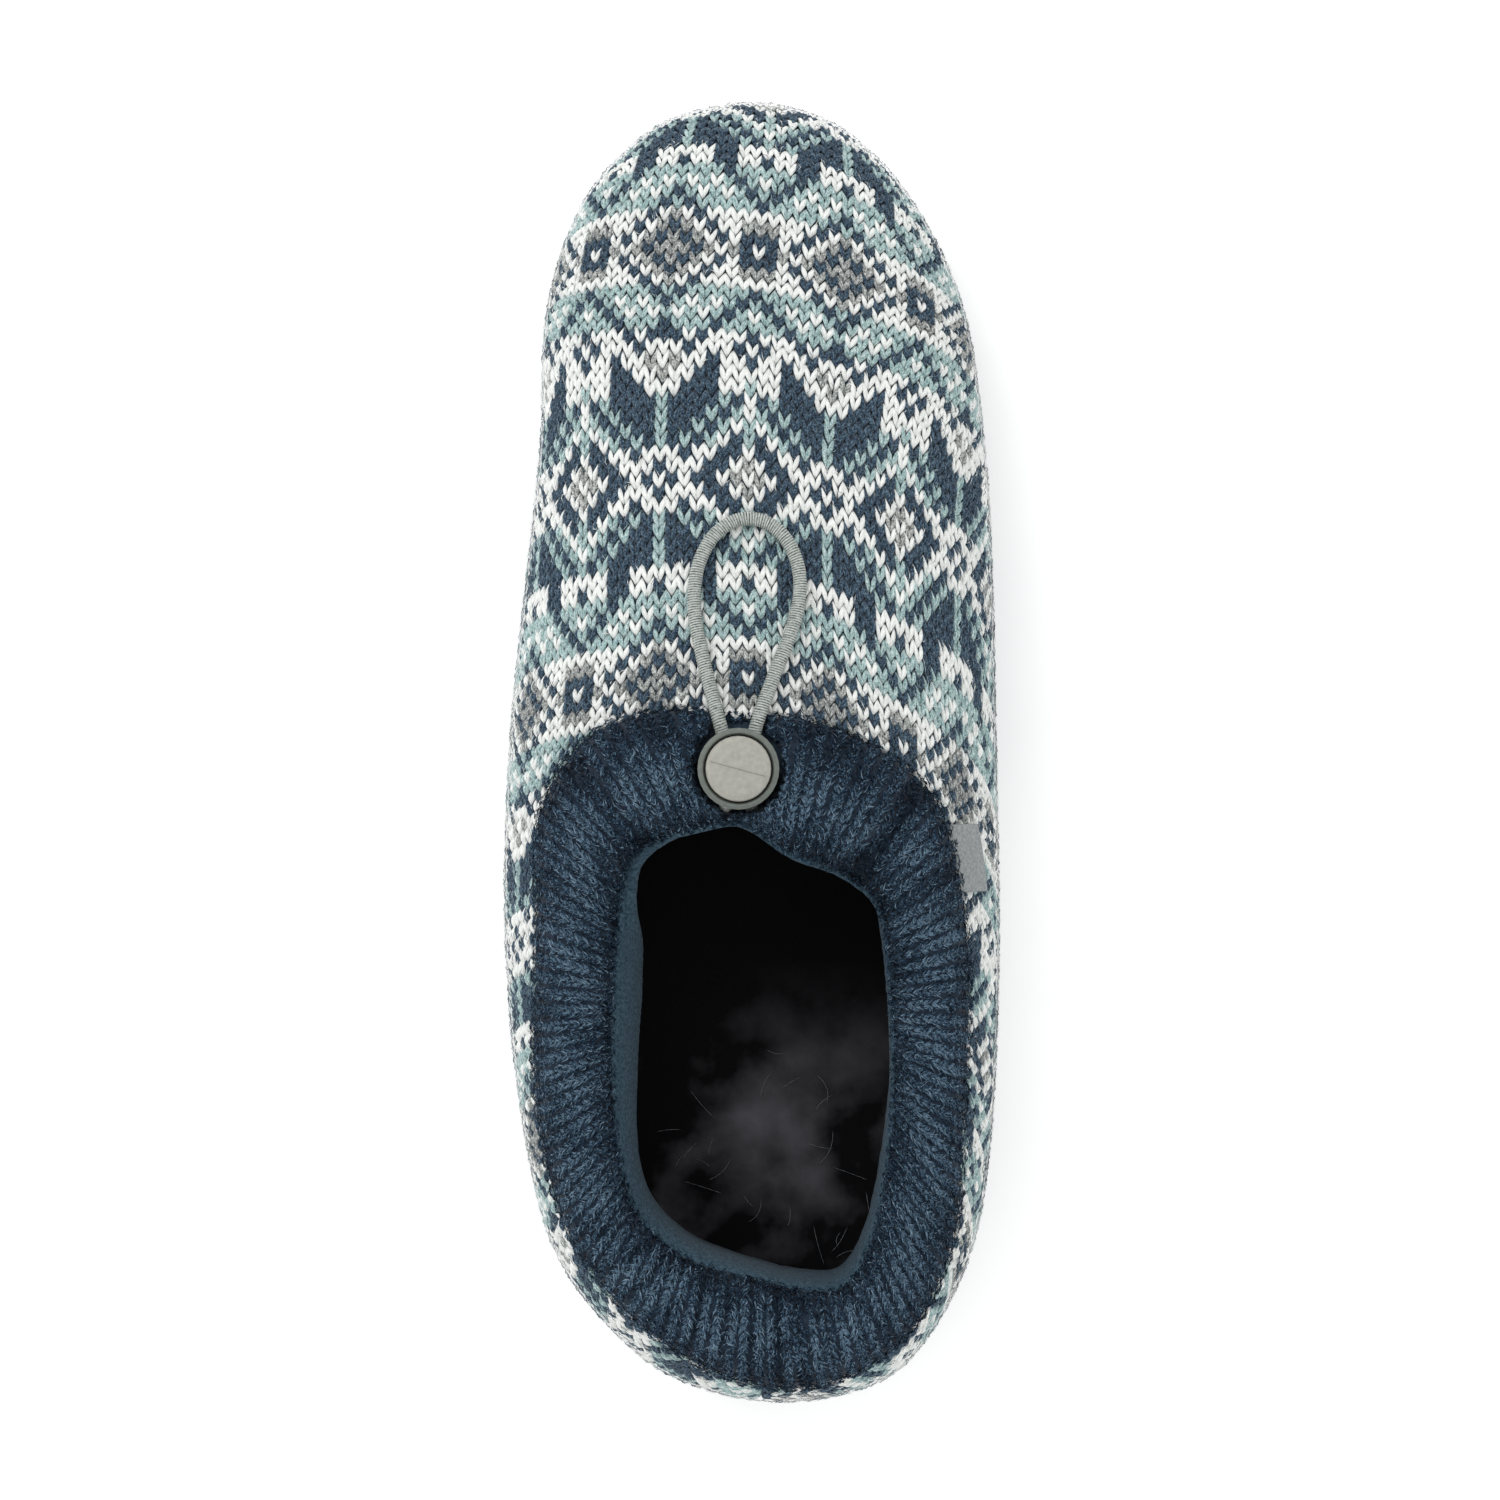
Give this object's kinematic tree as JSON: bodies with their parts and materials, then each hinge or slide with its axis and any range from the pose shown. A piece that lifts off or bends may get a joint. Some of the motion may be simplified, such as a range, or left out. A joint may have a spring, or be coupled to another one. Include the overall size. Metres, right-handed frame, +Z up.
{
  "type": "knitted slipper",
  "caption": "Low slipper for a right foot, with a patterned knit upper, a padded knit collar, a plush inside and a drawcord with a push-button cord lock.",
  "frame": {"origin": "middle of the slipper's outline, on the floor it stands on", "axes": "+Y from heel to toe, +X to the outer side of the foot, +Z up"},
  "size_m": [0.102, 0.2699, 0.0802],
  "materials": {
    "sole_rubber": "matt moulded rubber, dark navy",
    "dark_plush": "deep soft pile, night blue",
    "patterned_knit": "stocking-stitch knit in navy, ivory, pale teal and grey",
    "navy_knit": "brushed navy knit over padding",
    "grey_tab": "woven ribbon, bare",
    "grey_elastic": "round braided elastic",
    "grey_plastic": "moulded, satin"
  },
  "bodies": {
    "slipper": {"outsole": "sole_rubber", "insole": "dark_plush", "upper": "patterned_knit", "collar": "navy_knit", "seam_tab": "grey_tab", "drawcord": "grey_elastic", "cord_lock_barrel": "grey_plastic"},
    "button": {"cord_lock_button": "grey_plastic"}
  },
  "joints": [
    {"name": "button_press", "type": "slide", "parent": "slipper", "child": "button", "axis": [0, 0, 1], "range_m": [-0.002, 0], "stiffness_N_per_m": 400, "springref_m": 0.001}
  ]
}
